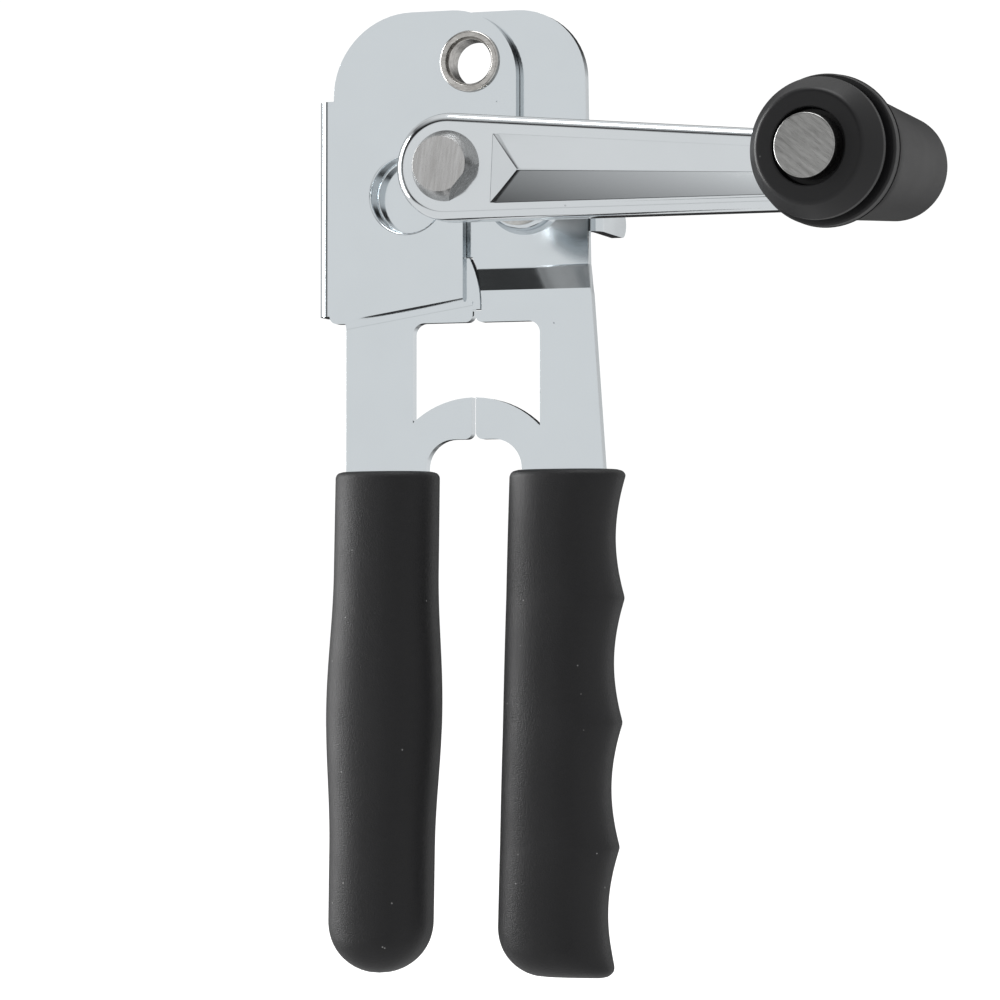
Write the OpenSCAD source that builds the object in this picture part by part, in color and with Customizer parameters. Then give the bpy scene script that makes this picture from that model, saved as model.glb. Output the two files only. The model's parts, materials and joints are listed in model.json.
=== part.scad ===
// Manual can opener with a bottle-opener gap between its handles.
// +Z runs up from the grips to the pivot, +X points to the crank's side and
// +Y points away from the crank. The origin is on the pivot's axis, at the
// middle of the sheet of the lower plates.

/* [Sheet and head] */
// Thickness of the stamped steel sheet
sheet_t = 2.4; // [2:0.1:3]
// Air between the front plate and the rear plate
plate_gap = 0.3; // [0.2:0.05:0.5]
// Distance between the cutter wheel's axis and the drive shaft's axis
axis_spacing = 25.5; // [22:0.5:31]
// How far both wheel axes lie below the pivot
axis_drop = 27.8; // [26:0.5:34]
// How far the plates reach above the pivot
top_z = 11; // [10:0.2:13]
// Distance from the pivot to the end of the grips
handle_len = 192.4; // [162:1:231]

/* [Pivot] */
// Diameter of the hole through the hollow pivot rivet, used to hang the tool
hang_d = 9.4; // [7.8:0.2:11]
// Wall of the pivot rivet's tube
eyelet_wall = 1.1; // [0.8:0.1:1.3]
// How far the rolled lip stands out from the hanging hole
eyelet_lip = 1.8; // [1.6:0.1:2.4]

/* [Bottle opener] */
// Width of the gap from the left plate's edge to the middle
gap_left = 13.6; // [11:0.2:15]
// Width of the gap from the right plate's edge to the middle
gap_right = 14.6; // [11:0.2:15.5]
// Level of the gap's top edge
gap_top_z = -55; // [-58:0.5:-54]
// Level of the tips of the two hooks
hook_top_z = -70.9; // [-73:0.1:-69]

/* [Drive and cutter] */
// Number of teeth on each of the two gears
gear_teeth = 16; // [14:1:18]
// Diameter of the drive shaft's journal in its bushing
journal_d = 8; // [6.6:0.2:9.6]
// Diameter of the cutter's stud
stud_d = 7; // [5.8:0.2:8.4]
// Outer diameter of the toothed feed wheel
feed_d = 19; // [17:0.5:20]
// Height of the can's rim that fits between the two wheels
rim_h = 2.5; // [2:0.1:3.5]

/* [Crank] */
// Length of the crank arm from the shaft to the knob's axle
arm_len = 93; // [77:1:112]
// Distance from the rear plate's front face to the arm's front face
arm_stand = 52; // [43:1:63]
// Thickness of the crank arm
arm_t = 8.5; // [7.2:0.1:10]
// Angle of the crank below level, as the tool lies at rest
arm_angle = 2.5; // [0:0.1:10]
// Lean of the knob's axle towards the shaft
knob_lean = 7.4; // [0:0.1:8]
// Droop of the knob's front end below its back end
knob_droop = 1.1; // [0:0.1:2]

/* [Knob] */
// Length of the knob, cap included
knob_len = 48; // [40:0.5:58]
// Diameter of the knob's widest flange
knob_d = 28.4; // [24:0.2:34]
// Diameter of the knob's axle
axle_d = 6.4; // [5.4:0.1:7.6]

/* [Hidden] */
$fn = 96;
eps = 0.01;
run_fit = 0.05;
face_fit = 0.05;

// Sheet levels along Y: the front plate, the rear plate and the lower plates
front_y0 = -plate_gap / 2 - sheet_t;
front_y1 = -plate_gap / 2;
rear_y0 = plate_gap / 2;
rear_y1 = plate_gap / 2 + sheet_t;
step_y = (plate_gap + sheet_t) / 2;

// Axes of the cutter and the drive shaft
cut_x = -0.553 * axis_spacing;
drive_x = cut_x + axis_spacing;
axis_z = -axis_drop;

// Outlines of the head
bend_r = sheet_t + 0.5;
flange_x = cut_x - axis_spacing / 2 - 7.55;
flat_x = flange_x + bend_r;
flange_depth = 6;
flange_top_z = -7.3;
shoulder_l = 17.5;
shoulder_r = 14.2;
relief = 0.9;
front_right_x = 10.2;
boss_r = 9;
boss_clear_r = boss_r + 4;
front_low_x = drive_x - boss_clear_r;
rear_right_x = drive_x + axis_spacing / 2 + 1.05;
rear_top_x = rear_right_x - 0.6;
rear_shoulder = 15;
rear_left_x = -3.2;
rear_in_x = -0.3;

// Lower plates, hooks and tangs, all measured from the middle line
mid_x = 0.43;
split_gap = 0.5;
hook_gap = 0.9;
left_step_z = -49.7;
left_step_h = 2.2;
left_step_tilt = 9;
rear_step_z = -43.2;
rear_step_h = 5.2;
rear_in_z = rear_step_z + 2;
nib_r = 22;
nib_reach = 1.4;
nib_top_z = -41.5;
left_edge_u = 28.6;
right_edge_u = 25.9;
right_edge_low_u = 28.5;
hook_dome_r = 20.4;
hook_low_z = hook_top_z - 8.8;
grip_top_z = -86.4;
arch_r = 6.2;
arch_u = 4.4;
tang_in_u = 12.5;
tang_out_u = 26;
tang_end_z = -handle_len + 16;

// Cup of the cutter and boss of the drive shaft
cup_r = 8.1;
cup_depth = 4.65;
cup_lip = 0.5;
cup_floor_r = 7.8;
cup_floor_y = front_y0 + cup_depth;
cup_back_y = cup_floor_y + sheet_t - 0.1;
cup_out_r = cup_r + sheet_t - 0.6;
boss_y = rear_y0 - 3.8;
boss_lip = 1.6;
bush_r = journal_d / 2 + 2;
bush_flange_t = 0.8;

// Pivot rivet
eyelet_r = hang_d / 2 + eyelet_wall;
lip_r = hang_d / 2 + eyelet_lip;
lip_t = 1;
pivot_washer_t = 0.8;
pivot_washer_y = rear_y1 + face_fit;
eyelet_y0 = front_y0 - lip_t;
eyelet_y1 = pivot_washer_y + pivot_washer_t + lip_t;

// Stacks along Y behind the plates
gear_y0 = cup_back_y + 0.3;
gear_t = 3;
gear_y1 = gear_y0 + gear_t;
feed_y0 = gear_y1 + face_fit;
feed_t = 3;
feed_y1 = feed_y0 + feed_t;
pitch_r = axis_spacing / 2;
tip_r = pitch_r + 1.1;
root_r = pitch_r - 1.55;
pressure = 20;
backlash = 0.3;
feed_r = feed_d / 2;
feed_teeth = 30;
cutter_r = axis_spacing - feed_r - rim_h;
cutter_hub_r = 8.4;
cutter_y1 = feed_y1 + 1.7;
cutter_disc_t = 1.7;
stud_r = stud_d / 2;
stud_y1 = cutter_y1 + 0.55;
screw_head_r = stud_r + 2.3;
screw_head_t = 2.2;
spring_t = 0.4;

// Drive shaft
journal_r = journal_d / 2;
square_w = journal_d * 0.7;
arm_y0 = rear_y0 - arm_stand;
arm_y1 = arm_y0 + arm_t;
collar_y = boss_y - bush_flange_t - 0.75;
shaft_r = 5.5;
shaft_flat = 5.2;
flat_turn = 41;
head_r = 7.1;
head_top_r = 5.5;
head_h = 4.2;
spacer_y0 = rear_y1 + 0.1;
lock_t = 0.8;
nut_t = 3;
nut_af = journal_d;
thread_r = journal_d * 0.3;
nut_y0 = feed_y1 + lock_t;

// Crank arm
hub_r = 10.8;
arm_end_r = 6.8;
arm_edge = 2.2;
hub_boss_r = 8.4;
hub_boss_h = 3;
trough_x0 = 9.7;
trough_x1 = 79;
trough_w0 = 6.95;
trough_w1 = 4.1;
trough_low = 0.35;
trough_hip = 4.6;
trough_d = 2.2;
seat_r = 7;
seat_h = 1;

// Knob, along its axle from the seat on the arm towards the front
axle_r = axle_d / 2;
knob_washer_t = 0.8;
knob_s0 = knob_washer_t + 0.1;
flange_r = knob_d / 2;
flange_s = knob_s0 + knob_len - 9.6;
body_s1 = flange_s + 1.6;
cap_r = flange_r - 1.1;
cap_s1 = knob_s0 + knob_len;
cap_face_r = flange_r - 3.8;
neck_r = flange_r - 3.4;
rim_s0 = body_s1 + 2.2;
rim_s1 = rim_s0 + 1.2;
end_r = flange_r - 4;
waist_r = flange_r - 1.9;
well_r = 7.1;
well_d = 2.4;
axle_head_r = 6;
axle_head_t = 4.2;
spigot_r = 6.2;

// Guide finger on the rear plate's edge
finger_w = 5.8;
finger_z = -33.5;
finger_y1 = 19.5;
finger_flat_x = rear_right_x - 0.3;

// Grips: levels are given as parts of the grip's length
grip_len = handle_len + grip_top_z;
grip_sides = 28;
grip_round = 0.88;
groove_t0 = 0.008;
groove_step = 0.2455;
groove_d = 2.2;
belly = 1.25;

// ---- helpers -------------------------------------------------------------

// A flat outline in X and Z, given thickness from y0 to y1
module slab(y0, y1)
    translate([0, y1, 0])
        rotate([90, 0, 0])
            linear_extrude(y1 - y0)
                children();

// A profile of radius and Y, turned about an axis through x and z
module turned(x, z)
    translate([x, 0, z])
        rotate([-90, 0, 0])
            rotate_extrude()
                children();

// A round bar along Y
module rod(x, z, r, y0, y1)
    translate([x, y0, z])
        rotate([-90, 0, 0])
            cylinder(r = r, h = y1 - y0);

// A round washer along Y
module ring(x, z, r_out, r_in, y0, y1)
    difference() {
        rod(x, z, r_out, y0, y1);
        rod(x, z, r_in, y0 - 1, y1 + 1);
    }

module box2d(x0, x1, z0, z1)
    translate([x0, z0])
        square([x1 - x0, z1 - z0]);

// Bends of the two steps: how much of the step is left at parts of its drop.
// The left one is sharp at its top and soft below, the rear one the other way
left_bend = [for (u = [0:0.125:1]) [u, pow(1 - u, 2)]];
rear_soft = 0.15;
rear_bend = [
    for (u = [0, 0.05, 0.1, 0.15, 1])
        [u, 1 - (u < rear_soft ? u * u / 2 / rear_soft : u - rear_soft / 2)
            / (1 - rear_soft / 2)]
];

// Sheet that runs at one level above z_top and at level zero below it
module stepped_sheet(y_up, z_top, drop, tilt, bend) {
    h = sheet_t / 2;
    far = 300;
    back = [for (b = bend) [y_up * b[1] + h, -drop * b[0]]];
    front = [for (i = [len(back) - 1:-1:0]) back[i] - [sheet_t, 0]];
    translate([0, 0, z_top])
        rotate([0, -tilt, 0])
            translate([-far / 2, 0, 0])
                rotate([90, 0, 90])
                    linear_extrude(far)
                        polygon([
                            [y_up - h, far], [y_up + h, far], each back,
                            [h, -far], [-h, -far], each front
                        ]);
}

// Places a child that is drawn along the knob's axle: its -Y is the way forward
module on_arm()
    translate([drive_x, 0, axis_z])
        rotate([0, arm_angle, 0])
            children();

module on_axle()
    on_arm()
        translate([arm_len, arm_y0, 0])
            rotate([knob_droop, 0, -knob_lean])
                children();

// A profile of radius and distance forward, turned about the knob's axle
module knob_turned()
    on_axle()
        rotate([90, 0, 0])
            rotate_extrude()
                children();

module knob_rod(r, s0, s1)
    on_axle()
        translate([0, -s0, 0])
            rotate([90, 0, 0])
                cylinder(r = r, h = s1 - s0);

// ---- sheet frames --------------------------------------------------------

// Outline below the head, drawn on the positive side of the middle line
module lower_outline(edge_u, edge_low_u, gap_u, top) {
    difference() {
        union() {
            // header above the bottle gap and the strip beside it
            polygon([
                [split_gap / 2, gap_top_z], [split_gap / 2, top],
                [edge_u, top], [edge_low_u, grip_top_z],
                [tang_out_u, grip_top_z - 5], [tang_in_u, grip_top_z - 5],
                [gap_u, hook_low_z - 6], [gap_u, gap_top_z]
            ]);
            // round inner corner of the gap
            difference() {
                box2d(gap_u - 2.5, gap_u, gap_top_z - 2.5, gap_top_z);
                translate([gap_u - 2.5, gap_top_z - 2.5])
                    circle(2.5);
            }
            // hook with a domed top and a round tip
            intersection() {
                translate([0, hook_top_z - hook_dome_r])
                    circle(hook_dome_r);
                union() {
                    box2d(hook_gap / 2, gap_u + 1, hook_low_z + 1.5, hook_top_z);
                    box2d(hook_gap / 2 + 1.5, gap_u + 1, hook_low_z, hook_top_z);
                    translate([hook_gap / 2 + 1.5, hook_low_z + 1.5])
                        circle(1.5);
                }
            }
            // web between the hook and the grip
            box2d(arch_u, gap_u + 1, grip_top_z - 5, hook_low_z + eps);
        }
        translate([arch_u, hook_low_z - arch_r])
            circle(arch_r);
        box2d(0, arch_u + arch_r, grip_top_z - 8, hook_low_z - arch_r);
        // rounded lower corner of the header at the split
        difference() {
            box2d(0, split_gap / 2 + 1.6, gap_top_z - 1, gap_top_z + 1.6);
            translate([split_gap / 2 + 1.6, gap_top_z + 1.6])
                circle(1.6);
        }
    }
    // tang inside the grip
    box2d(tang_in_u, tang_out_u, tang_end_z, grip_top_z + eps);
}

module left_lower()
    translate([mid_x, 0])
        mirror([1, 0])
            lower_outline(left_edge_u, left_edge_u, gap_left, left_step_z - 1);

module right_lower()
    translate([mid_x, 0])
        lower_outline(right_edge_u, right_edge_low_u, gap_right,
                      left_step_z + eps);

// Small nib at the split that stands over the edge of the other plate
module nib_outline(grow) {
    translate([mid_x, 0])
        intersection() {
            translate([nib_reach - nib_r - grow, left_step_z - 1.8])
                circle(nib_r + 2 * grow);
            box2d(-6, 3, left_step_z - 2.6 - grow, nib_top_z + grow);
        }
}

module left_outline() {
    arch_x = flat_x + shoulder_l + relief;
    difference() {
        union() {
            translate([arch_x, top_z - shoulder_l])
                circle(shoulder_l);
            translate([front_right_x - shoulder_r, top_z - shoulder_r])
                circle(shoulder_r);
            box2d(arch_x, front_right_x - shoulder_r, axis_z, top_z);
            box2d(flat_x + relief, front_right_x, axis_z, top_z - shoulder_l);
            box2d(arch_x, front_right_x, axis_z, top_z - shoulder_r);
            box2d(flat_x, front_low_x, left_step_z - 3.5, flange_top_z);
            translate([flat_x + 1.6, left_step_z - 3.5])
                circle(1.6);
            box2d(flat_x + 1.6, front_low_x, left_step_z - 5.1, left_step_z);
            left_lower();
        }
        translate([drive_x, axis_z])
            circle(boss_clear_r);
        box2d(front_low_x, front_right_x + 1, left_step_z, axis_z);
    }
}

// Profile of a sheet edge bent back by a right angle: it starts 2 mm inside the
// flat sheet at x = 0 and the bent leg ends at y1. Drawn for a left edge
module bent_profile(y1) {
    difference() {
        translate([0, bend_r])
            circle(bend_r);
        translate([0, bend_r])
            circle(bend_r - sheet_t);
        translate([0, -1])
            square([bend_r + 1, 2 * bend_r + 2]);
        translate([-bend_r - 1, bend_r])
            square([2 * bend_r + 2, bend_r + 1]);
    }
    square([2, sheet_t]);
    translate([-bend_r, bend_r])
        square([sheet_t, y1 - bend_r]);
}

// Edge of the front plate, bent back as a stiffening flange
module side_flange() {
    z0 = left_step_z - 3.5;
    translate([flat_x, front_y0, z0])
        linear_extrude(flange_top_z - z0)
            bent_profile(flange_depth - front_y0);
}

module left_frame() {
    color("gainsboro")
        difference() {
            union() {
                intersection() {
                    stepped_sheet(-step_y, left_step_z, left_step_h,
                                  left_step_tilt, left_bend);
                    slab(-20, 20)
                        left_outline();
                }
                side_flange();
                slab(-sheet_t / 2, sheet_t / 2)
                    nib_outline(0);
                turned(cut_x, axis_z)
                    cup_back_profile();
            }
            turned(cut_x, axis_z)
                cup_hollow_profile();
            rod(0, 0, eyelet_r, -20, 20);
        }
}

// Back of the drawn cup: a short drum with a rounded corner
module cup_back_profile() {
    translate([0, front_y1 - 1])
        square([cup_out_r, cup_back_y - 1.4 - front_y1 + 1]);
    translate([0, front_y1 - 1])
        square([cup_out_r - 1.4, cup_back_y - front_y1 + 1]);
    translate([cup_out_r - 1.4, cup_back_y - 1.4])
        circle(1.4);
}

// Inside of the cup: rounded lip, upright wall and rounded floor corner
module cup_hollow_profile() {
    corner = cup_r - cup_floor_r;
    translate([0, front_y0 - 1])
        square([cup_floor_r, cup_floor_y - front_y0 + 1]);
    translate([0, front_y0 - 1])
        square([cup_r, cup_floor_y - front_y0 + 1 - corner]);
    translate([cup_floor_r, cup_floor_y - corner])
        circle(corner);
    difference() {
        translate([cup_r - 0.5, front_y0 - 1])
            square([cup_lip + 0.5, cup_lip + 1]);
        translate([cup_r + cup_lip, front_y0 + cup_lip])
            circle(cup_lip);
    }
}

module right_outline() {
    difference() {
        union() {
            circle(top_z - 0.2);
            box2d(0, rear_top_x - rear_shoulder, -10, top_z - 0.2);
            translate([rear_top_x - rear_shoulder,
                       top_z - 0.2 - rear_shoulder])
                circle(rear_shoulder);
            polygon([
                [rear_in_x, rear_step_z - 1], [rear_right_x, rear_step_z - 1],
                [rear_right_x, rear_step_z],
                [rear_top_x, top_z - 0.2 - rear_shoulder],
                [rear_left_x, top_z - 0.2 - rear_shoulder],
                [rear_left_x, rear_in_z], [rear_in_x, rear_in_z]
            ]);
            polygon([
                [split_gap / 2 + mid_x, left_step_z],
                [rear_in_x, rear_step_z], [rear_right_x, rear_step_z],
                [mid_x + right_edge_u, left_step_z]
            ]);
            right_lower();
        }
        translate([cut_x, axis_z])
            circle(cup_out_r + 0.6);
        nib_outline(0.3);
    }
}

// Finger bent back from the rear plate's edge, with a round end
module guide_finger() {
    r = finger_w / 2;
    translate([finger_flat_x, rear_y0, finger_z - r])
        mirror([1, 0, 0])
            linear_extrude(finger_w)
                bent_profile(finger_y1 - r - rear_y0);
    translate([finger_flat_x + bend_r - sheet_t, finger_y1 - r, finger_z])
        rotate([0, 90, 0])
            cylinder(r = r, h = sheet_t);
}

module right_frame() {
    color("gainsboro")
        difference() {
            union() {
                intersection() {
                    stepped_sheet(step_y, rear_step_z, rear_step_h, 0, rear_bend);
                    slab(-20, 20)
                        right_outline();
                }
                guide_finger();
                turned(drive_x, axis_z)
                    boss_profile();
            }
            rod(drive_x, axis_z, bush_r, -20, 20);
            rod(0, 0, eyelet_r + run_fit, -20, 20);
        }
}

// Boss raised from the rear plate around the bushing
module boss_profile() {
    top_r = boss_r - 0.7;
    polygon([
        [0, boss_y + boss_lip], [top_r, boss_y + boss_lip],
        [top_r, rear_y0 - 0.9], [boss_r, rear_y0], [boss_r, rear_y0 + 1],
        [0, rear_y0 + 1]
    ]);
    translate([0, boss_y])
        square([top_r - boss_lip, boss_lip + 1]);
    translate([top_r - boss_lip, boss_y + boss_lip])
        circle(boss_lip);
}

// ---- pivot ---------------------------------------------------------------

// Hollow rivet with a rolled lip at each end; the tool hangs by its hole
module pivot_eyelet() {
    color("silver")
        turned(0, 0)
            difference() {
                union() {
                    translate([0, eyelet_y0 + lip_t / 2])
                        square([eyelet_r, eyelet_y1 - eyelet_y0 - lip_t]);
                    for (y = [eyelet_y0 + lip_t / 2, eyelet_y1 - lip_t / 2]) {
                        translate([0, y - lip_t / 2])
                            square([lip_r - lip_t / 2, lip_t]);
                        translate([lip_r - lip_t / 2, y])
                            circle(lip_t / 2);
                    }
                }
                translate([0, eyelet_y0 - 1])
                    square([hang_d / 2, eyelet_y1 - eyelet_y0 + 2]);
            }
}

module pivot_washer()
    color("silver")
        ring(0, 0, lip_r + 1.4, eyelet_r, pivot_washer_y,
             pivot_washer_y + pivot_washer_t);

// ---- cutter --------------------------------------------------------------

// Stud fixed to the cup's back, drilled for the screw
module cutter_stud()
    color("darkgray")
        difference() {
            rod(cut_x, axis_z, stud_r, cup_back_y, stud_y1);
            rod(cut_x, axis_z, stud_r * 0.5, cup_back_y + 1.5, stud_y1 + 1);
        }

// Slotted screw that holds the cutter on its stud
module cutter_screw()
    color("silver")
        difference() {
            union() {
                rod(cut_x, axis_z, stud_r * 0.5, cup_back_y + 2, stud_y1 + eps);
                rod(cut_x, axis_z, screw_head_r, stud_y1,
                    stud_y1 + screw_head_t);
            }
            translate([cut_x - 9, stud_y1 + 1, axis_z - 0.6])
                cube([18, 3, 1.2]);
        }

module cutter_spring_washer()
    color("silver")
        ring(cut_x, axis_z, stud_r + 1.9, stud_r + 0.1,
             stud_y1 - spring_t - face_fit, stud_y1 - face_fit);

// Involute outline of a gear with its first tooth at the given angle
module gear_outline(turn) {
    base_r = pitch_r * cos(pressure);
    half_tooth = (90 / gear_teeth) - backlash / 2 / pitch_r * 180 / PI / 2;
    function inv(a) = tan(a) * 180 / PI - a;
    function flank(r) =
        half_tooth + inv(pressure) - inv(r > base_r ? acos(base_r / r) : 0);
    steps = 6;
    radii = [
        root_r,
        for (i = [0:steps]) base_r + (tip_r - base_r) * i / steps
    ];
    last = len(radii) - 1;
    polygon([
        for (k = [0:gear_teeth - 1])
            for (j = [0:2 * last + 1])
                let (i = j <= last ? j : 2 * last + 1 - j,
                     side = j <= last ? -1 : 1,
                     a = turn + k * 360 / gear_teeth + side * flank(radii[i]))
                    radii[i] * [cos(a), sin(a)]
    ]);
}

module cutter_gear()
    color("darkgray")
        difference() {
            slab(gear_y0, gear_y1)
                translate([cut_x, axis_z])
                    gear_outline(180 / gear_teeth);
            rod(cut_x, axis_z, stud_r + run_fit, gear_y0 - 1, gear_y1 + 1);
        }

// Hub and hardened disc with a sharp edge at its back
module cutter_wheel()
    color("silver")
        turned(cut_x, axis_z)
            polygon([
                [stud_r + run_fit, gear_y1], [cutter_hub_r, gear_y1],
                [cutter_hub_r, cutter_y1 - cutter_disc_t - 1],
                [cutter_hub_r + 1, cutter_y1 - cutter_disc_t],
                [cutter_r, cutter_y1 - 0.25], [cutter_r, cutter_y1],
                [stud_r + run_fit, cutter_y1]
            ]);

// ---- drive ---------------------------------------------------------------

module shaft_bushing()
    color("darkkhaki")
        difference() {
            union() {
                rod(drive_x, axis_z, bush_r, boss_y, rear_y1);
                rod(drive_x, axis_z, bush_r + 0.9, boss_y - bush_flange_t,
                    boss_y);
            }
            rod(drive_x, axis_z, journal_r + run_fit, -20, 20);
        }

module drive_shaft()
    color("silver")
        difference() {
            union() {
                // head in front of the arm
                translate([drive_x, arm_y0 - head_h, axis_z])
                    rotate([-90, 0, 0])
                        cylinder(r1 = head_top_r, r2 = head_r, h = head_h);
                rod(drive_x, axis_z, shaft_r, arm_y0 - eps, collar_y);
                rod(drive_x, axis_z, journal_r, collar_y - eps, gear_y0 - eps);
                translate([drive_x - square_w / 2, gear_y0 - 0.5,
                           axis_z - square_w / 2])
                    cube([square_w, feed_y1 - gear_y0 + 0.5, square_w]);
                rod(drive_x, axis_z, thread_r, feed_y1 - eps,
                    nut_y0 + nut_t + 0.8);
            }
            // flat that keys the shaft in the arm
            translate([drive_x, 0, axis_z])
                rotate([0, flat_turn, 0])
                    translate([shaft_flat, arm_y0 - head_h - 1, -10])
                        cube([10, arm_t + head_h + 1, 20]);
        }

module thrust_washer()
    color("silver")
        ring(drive_x, axis_z, bush_r + 1.4, journal_r + run_fit,
             collar_y, collar_y + 0.6);

module gear_spacer()
    color("silver")
        ring(drive_x, axis_z, bush_r + 0.8, journal_r,
             spacer_y0, gear_y0);

module square_hole(y0, y1)
    translate([drive_x - square_w / 2, y0 - 1, axis_z - square_w / 2])
        cube([square_w, y1 - y0 + 2, square_w]);

module drive_gear()
    color("darkgray")
        difference() {
            slab(gear_y0, gear_y1)
                translate([drive_x, axis_z])
                    gear_outline(0);
            square_hole(gear_y0, gear_y1);
        }

// Hardened wheel whose pointed teeth grip the can under its rim
module feed_wheel()
    color("darkgray")
        difference() {
            slab(gear_y1, feed_y1)
                translate([drive_x, axis_z])
                    polygon([
                        for (i = [0:2 * feed_teeth - 1])
                            let (r = i % 2 == 0 ? feed_r : feed_r - 1,
                                 a = i * 180 / feed_teeth)
                                r * [cos(a), sin(a)]
                    ]);
            square_hole(gear_y1, feed_y1);
        }

module lock_washer()
    color("silver")
        ring(drive_x, axis_z, square_w, thread_r, feed_y1, nut_y0);

module feed_nut()
    color("silver")
        difference() {
            translate([drive_x, nut_y0, axis_z])
                rotate([-90, 0, 0])
                    cylinder(d = nut_af / cos(30), h = nut_t, $fn = 6);
            rod(drive_x, axis_z, thread_r, nut_y0 - 1, nut_y0 + nut_t + 1);
        }

// ---- crank ---------------------------------------------------------------

// Disc along Y with rounded rims, used to shape the cast arm
module soft_disc(r) {
    steps = 4;
    translate([0, arm_y0, 0])
        rotate([-90, 0, 0])
            rotate_extrude($fn = 48)
                polygon([
                    [0, 0],
                    for (i = [0:steps])
                        let (a = i * 90 / steps)
                            [r - arm_edge + arm_edge * sin(a),
                             arm_edge - arm_edge * cos(a)],
                    for (i = [0:steps])
                        let (a = i * 90 / steps)
                            [r - arm_edge + arm_edge * cos(a),
                             arm_t - arm_edge + arm_edge * sin(a)],
                    [0, arm_t]
                ]);
}

// Tapered trough with a V floor and a hipped end
module trough() {
    far_w = trough_w0 + (trough_w1 - trough_w0)
        * (trough_x1 - trough_hip - trough_x0) / (trough_x1 - trough_x0);
    near_w = trough_w0 + (trough_w1 - trough_w0)
        * trough_hip / (trough_x1 - trough_x0);
    y = arm_y0 - eps;
    polyhedron(
        points = [
            [trough_x0, y, trough_w0], [trough_x0, y, -trough_w0],
            [trough_x1, y, -trough_w1], [trough_x1, y, trough_w1],
            [trough_x0 + trough_hip, arm_y0 + trough_d, 0],
            [trough_x1 - trough_hip, arm_y0 + trough_d * far_w / near_w, 0]
        ],
        faces = [
            [0, 3, 2, 1], [0, 4, 5, 3], [1, 2, 5, 4], [0, 1, 4], [2, 3, 5]
        ]
    );
}

module crank_arm()
    color("gainsboro")
        difference() {
            union() {
                on_arm() {
                    hull() {
                        soft_disc(hub_r);
                        translate([arm_len, 0, 0])
                            soft_disc(arm_end_r);
                    }
                    translate([0, arm_y1 - 0.5, 0])
                        rotate([-90, 0, 0])
                            cylinder(r = hub_boss_r, h = hub_boss_h + 0.5);
                }
                knob_rod(seat_r, -2, seat_h);
            }
            on_arm()
                translate([0, 0, -trough_low])
                    trough();
            intersection() {
                rod(drive_x, axis_z, shaft_r, arm_y0 - 5, arm_y1 + 6);
                union() {
                    translate([drive_x, 0, axis_z])
                        rotate([0, flat_turn, 0])
                            translate([shaft_flat - 20, arm_y0 - 5, -10])
                                cube([20, arm_t + 5, 20]);
                    translate([drive_x - 10, arm_y1 - eps, axis_z - 10])
                        cube([20, 6, 20]);
                }
            }
            knob_rod(axle_r, -20, seat_h + 1);
        }

// ---- knob ----------------------------------------------------------------

// Rivet that carries the knob, peened at the back of the arm
module knob_axle()
    color("silver") {
        s_head = seat_h + cap_s1 - well_d + 0.2;
        tail = arm_t + 0.7;
        knob_rod(axle_r, -tail, s_head + eps);
        knob_turned() {
            translate([0, s_head])
                square([axle_head_r, axle_head_t - 0.4]);
            translate([0, s_head])
                square([axle_head_r - 0.4, axle_head_t]);
            translate([axle_head_r - 0.4, s_head + axle_head_t - 0.4])
                circle(0.4);
        }
        knob_turned()
            translate([0, -tail - 1.2])
                polygon([
                    [0, 0], [axle_r + 0.4, 0], [axle_r + 1.4, 1.2], [0, 1.2]
                ]);
    }

module knob_washer()
    color("silver")
        difference() {
            knob_rod(seat_r + 0.6, seat_h, seat_h + knob_washer_t);
            knob_rod(axle_r, seat_h - 1, seat_h + knob_washer_t + 1);
        }

// Moulded body: rounded end, cone, flared flange and a neck for the cap
module knob_body()
    color([0.12, 0.12, 0.13])
        difference() {
            knob_turned()
                translate([0, seat_h]) {
                    translate([end_r - 1.6, knob_s0 + 1.6])
                        circle(1.6);
                    polygon([
                        [0, knob_s0], [end_r - 1.6, knob_s0],
                        [end_r, knob_s0 + 1.6],
                        [waist_r, flange_s - 5], [waist_r + 0.5, flange_s - 3],
                        [flange_r - 0.5, flange_s - 0.9],
                        [flange_r - 0.8, flange_s],
                        [flange_r - 0.8, body_s1], [0, body_s1]
                    ]);
                    translate([flange_r - 0.8, flange_s + 0.3])
                        circle(0.8);
                    translate([flange_r - 1.3, flange_s + 0.3])
                        square([1.1, body_s1 - flange_s - 0.3]);
                    translate([0, body_s1 - 1])
                        square([neck_r, rim_s0 - body_s1 + 1]);
                }
            knob_rod(axle_r + 0.1, seat_h, seat_h + cap_s1);
            knob_rod(spigot_r, seat_h + body_s1 - 5, seat_h + cap_s1);
        }

// Snap-in cap with a bevelled rim and a well for the rivet's head
module knob_cap()
    color([0.12, 0.12, 0.13])
        difference() {
            knob_turned()
                translate([0, seat_h])
                    polygon([
                        [0, body_s1 - 5], [spigot_r, body_s1 - 5],
                        [spigot_r, rim_s0], [cap_r - 0.4, rim_s0],
                        [cap_r, rim_s0 + 0.4], [cap_r, rim_s1 - 0.4],
                        [cap_r - 0.25, rim_s1 + 0.1],
                        [cap_face_r + 0.25, cap_s1 - 0.35],
                        [cap_face_r - 0.4, cap_s1], [0, cap_s1]
                    ]);
            knob_rod(axle_r + 0.1, seat_h, seat_h + cap_s1 + 1);
            knob_rod(well_r, seat_h + cap_s1 - well_d, seat_h + cap_s1 + 1);
        }

// ---- grips ---------------------------------------------------------------

// One ring of a grip: a full oval from x0 to x1, 2 * half thick, at level z
function fuller(c) = sign(c) * pow(abs(c), grip_round);
function grip_ring(x0, x1, half, z) = [
    for (i = [0:grip_sides - 1])
        let (a = (i + 0.5) * 360 / grip_sides)
            [(x0 + x1) / 2 + (x1 - x0) / 2 * fuller(cos(a)),
             half * fuller(sin(a)), z]
];

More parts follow.
